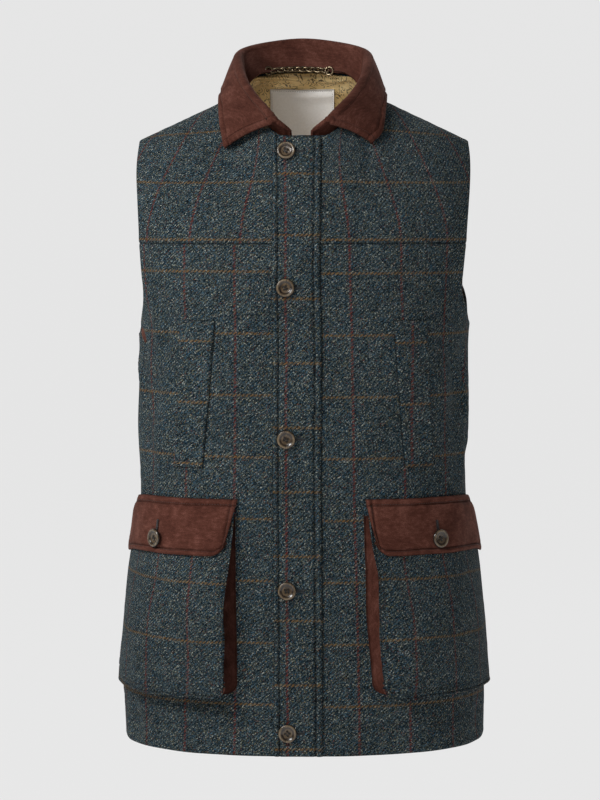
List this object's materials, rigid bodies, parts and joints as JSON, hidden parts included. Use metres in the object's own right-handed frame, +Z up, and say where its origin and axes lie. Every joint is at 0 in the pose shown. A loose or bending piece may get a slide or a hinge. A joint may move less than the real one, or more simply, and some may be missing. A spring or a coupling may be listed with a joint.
{
  "type": "tweed body warmer",
  "caption": "Sleeveless tweed body warmer in its hollow worn shape, with a turned-down brown collar, a buttoned placket, slanted hand-warmer welts and flapped bellows pockets.",
  "frame": {"origin": "midway between the two points where the shoulder seams meet the neck, which is where the wearer's shoulders hold it up", "axes": "+Z up, the front faces -Y, +X is the wearer's left"},
  "size_m": [0.4064, 0.2996, 0.7654],
  "materials": {
    "tweed": "woollen twill, blue-grey heather with a fine rust and ochre windowpane check",
    "moleskin": "brushed cotton with a soft nap, reddish brown",
    "satin": "satin, old gold with a dark brown scroll print",
    "label_weave": "plain woven off-white",
    "horn": "polished mottled brown, like horn",
    "old_brass": "dark antique"
  },
  "bodies": {
    "root": {"back": "tweed", "front_left": "tweed", "front_right": "tweed", "yoke_left": "tweed", "yoke_right": "tweed", "placket": "tweed", "welt_left": "tweed", "welt_right": "tweed", "pocket_face_left": "tweed", "pocket_face_right": "tweed", "gusset_left": "moleskin", "gusset_right": "moleskin", "flap_left": "moleskin", "flap_right": "moleskin", "collar": "moleskin", "armhole_facing_left": "moleskin", "armhole_facing_right": "moleskin", "neck_lining": "satin", "neck_label": "label_weave", "hanger_chain": "old_brass", "button_1": "horn", "button_2": "horn", "button_3": "horn", "button_4": "horn", "button_5": "horn", "flap_button_left": "horn", "flap_button_right": "horn"}
  },
  "joints": []
}
